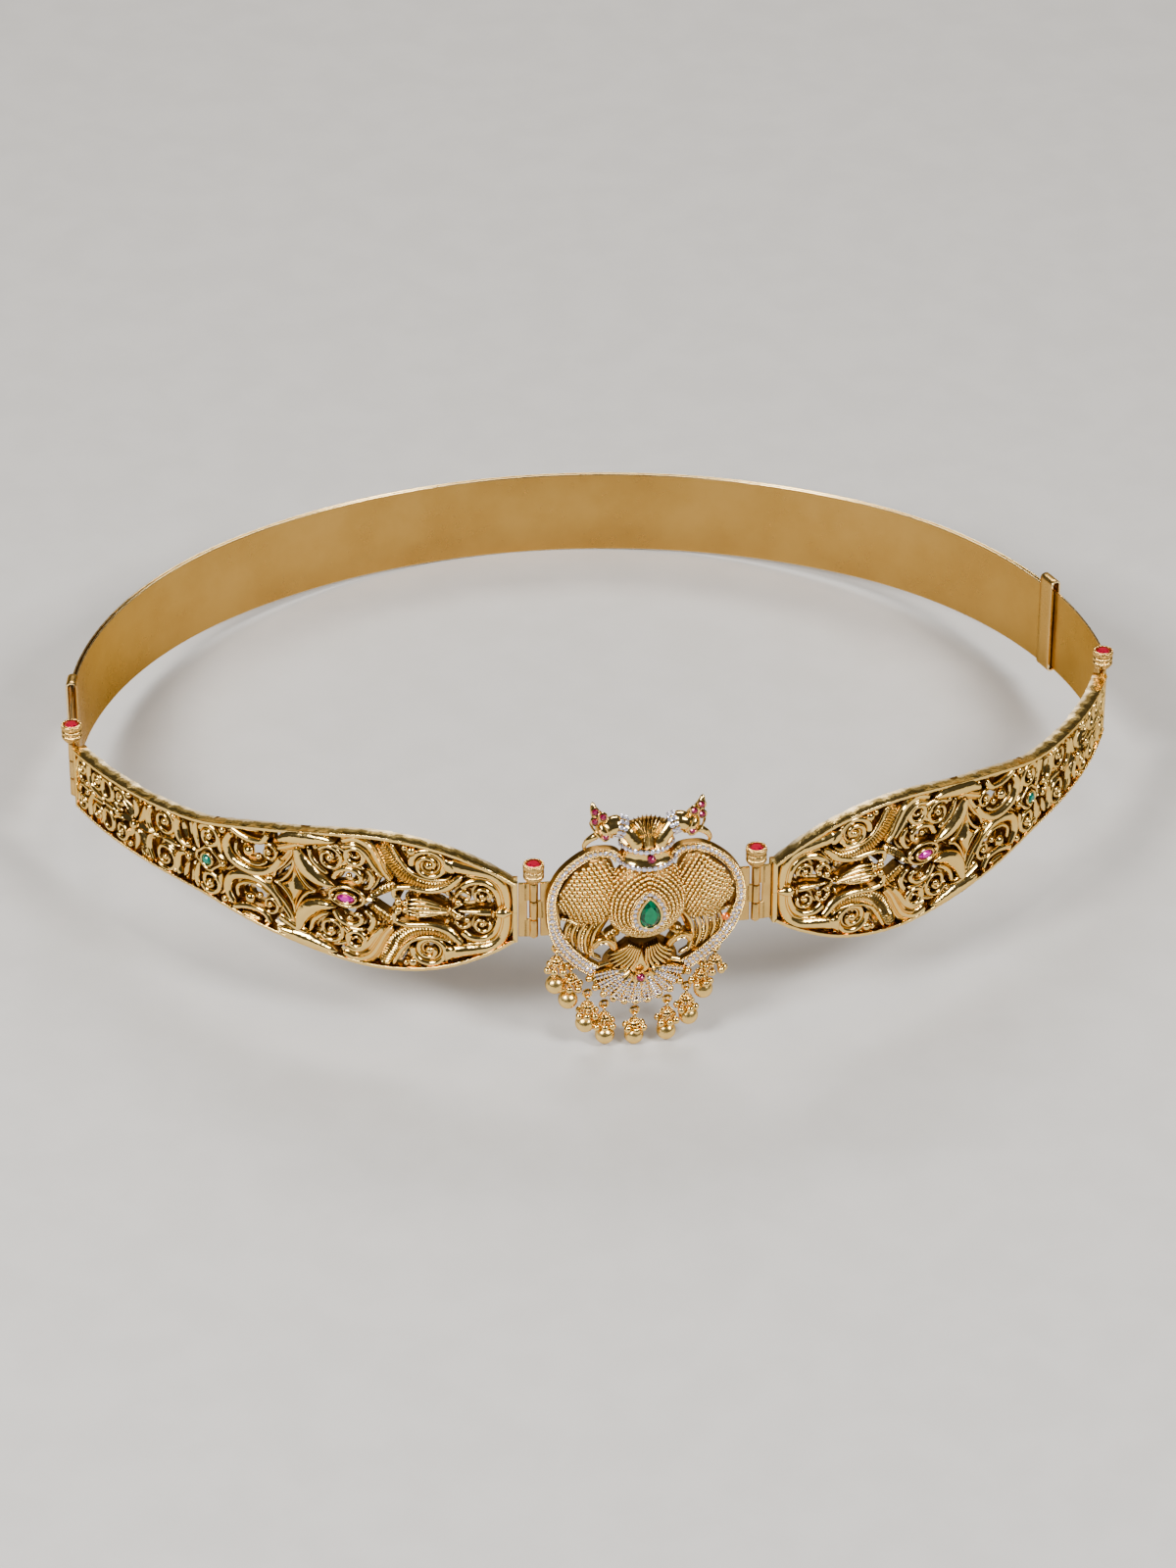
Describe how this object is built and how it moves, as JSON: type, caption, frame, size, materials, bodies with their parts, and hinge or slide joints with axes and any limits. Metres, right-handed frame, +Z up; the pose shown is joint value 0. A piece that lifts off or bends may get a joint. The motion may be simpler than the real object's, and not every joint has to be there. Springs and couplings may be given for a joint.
{
  "type": "waist belt",
  "caption": "Gold waist belt: two-headed bird pendant with stones and drops, two curved openwork side panels on pin hinges, and two thin plain overlapping back bands.",
  "frame": {"origin": "on the surface the belt stands on, below the middle of its bounding box", "axes": "+X to the right as seen from in front of the pendant, -Y out through the pendant, +Z up; the belt's own axis leans 7.68 degrees back from +Z"},
  "size_m": [0.2924, 0.232, 0.0745],
  "materials": {
    "ornament_gold": "polished gold plate",
    "band_gold": "satin gold plate",
    "hinge_gold": "polished gold plate",
    "ruby": "cut, polished",
    "green_stone": "cut, polished",
    "pink_stone": "cut, polished",
    "white_stone": "cut, polished",
    "orange_stone": "polished"
  },
  "bodies": {
    "bands": {"band_inner": "band_gold", "band_outer": "band_gold"},
    "left_panel": {"panel_left": "ornament_gold", "leaf_left_front": "hinge_gold", "leaf_left_back": "hinge_gold", "marquise_left": "pink_stone", "green_stone_left": "green_stone"},
    "right_panel": {"panel_right": "ornament_gold", "leaf_right_front": "hinge_gold", "leaf_right_back": "hinge_gold", "marquise_right": "pink_stone", "green_stone_right": "green_stone"},
    "pendant": {"pendant_setting": "ornament_gold", "pendant_leaf_left": "hinge_gold", "pendant_leaf_right": "hinge_gold", "pear_stone": "green_stone", "pear_halo": "white_stone", "collar_stones": "white_stone", "neck_stones": "white_stone", "wing_stones_left": "white_stone", "wing_stones_right": "white_stone", "tail_stones": "white_stone", "collar_ruby": "ruby", "skirt_ruby": "ruby", "orange_stone": "orange_stone", "head_rubies_left": "ruby", "head_rubies_right": "ruby", "drop_1": "ornament_gold", "drop_2": "ornament_gold", "drop_3": "ornament_gold", "drop_4": "ornament_gold", "drop_5": "ornament_gold", "drop_6": "ornament_gold", "drop_7": "ornament_gold", "drop_8": "ornament_gold", "drop_9": "ornament_gold"},
    "front_left_pin": {"pin_front_left": "hinge_gold", "pin_ruby_front_left": "ruby"},
    "front_right_pin": {"pin_front_right": "hinge_gold", "pin_ruby_front_right": "ruby"},
    "back_left_pin": {"pin_back_left": "hinge_gold", "pin_ruby_back_left": "ruby"},
    "back_right_pin": {"pin_back_right": "hinge_gold", "pin_ruby_back_right": "ruby"}
  },
  "joints": [
    {"name": "left_hinge", "type": "hinge", "parent": "bands", "child": "left_panel", "pos_m": [-0.1433, -0.01666, 0.03007], "axis": [0, 0.1336, 0.991], "range_deg": [-1, 1]},
    {"name": "right_hinge", "type": "hinge", "parent": "bands", "child": "right_panel", "pos_m": [0.1433, -0.01666, 0.03007], "axis": [0, 0.1336, 0.991], "range_deg": [-1, 1]},
    {"name": "pendant_hinge", "type": "hinge", "parent": "right_panel", "child": "pendant", "pos_m": [0.0293, -0.10585, 0.0421], "axis": [0, 0.1336, 0.991], "range_deg": [-4.9, 4.9]},
    {"name": "front_left_pin_lift", "type": "slide", "parent": "left_panel", "child": "front_left_pin", "axis": [0, 0.1336, 0.991], "range_m": [0, 0.0185]},
    {"name": "front_right_pin_lift", "type": "slide", "parent": "right_panel", "child": "front_right_pin", "axis": [0, 0.1336, 0.991], "range_m": [0, 0.0185]},
    {"name": "back_left_pin_lift", "type": "slide", "parent": "bands", "child": "back_left_pin", "axis": [0, 0.1336, 0.991], "range_m": [0, 0.0185]},
    {"name": "back_right_pin_lift", "type": "slide", "parent": "bands", "child": "back_right_pin", "axis": [0, 0.1336, 0.991], "range_m": [0, 0.0185]}
  ],
  "couplings": [
    {"joint": "right_hinge", "follows": "left_hinge", "ratio": 1},
    {"joint": "pendant_hinge", "follows": "left_hinge", "ratio": -4.8908}
  ]
}
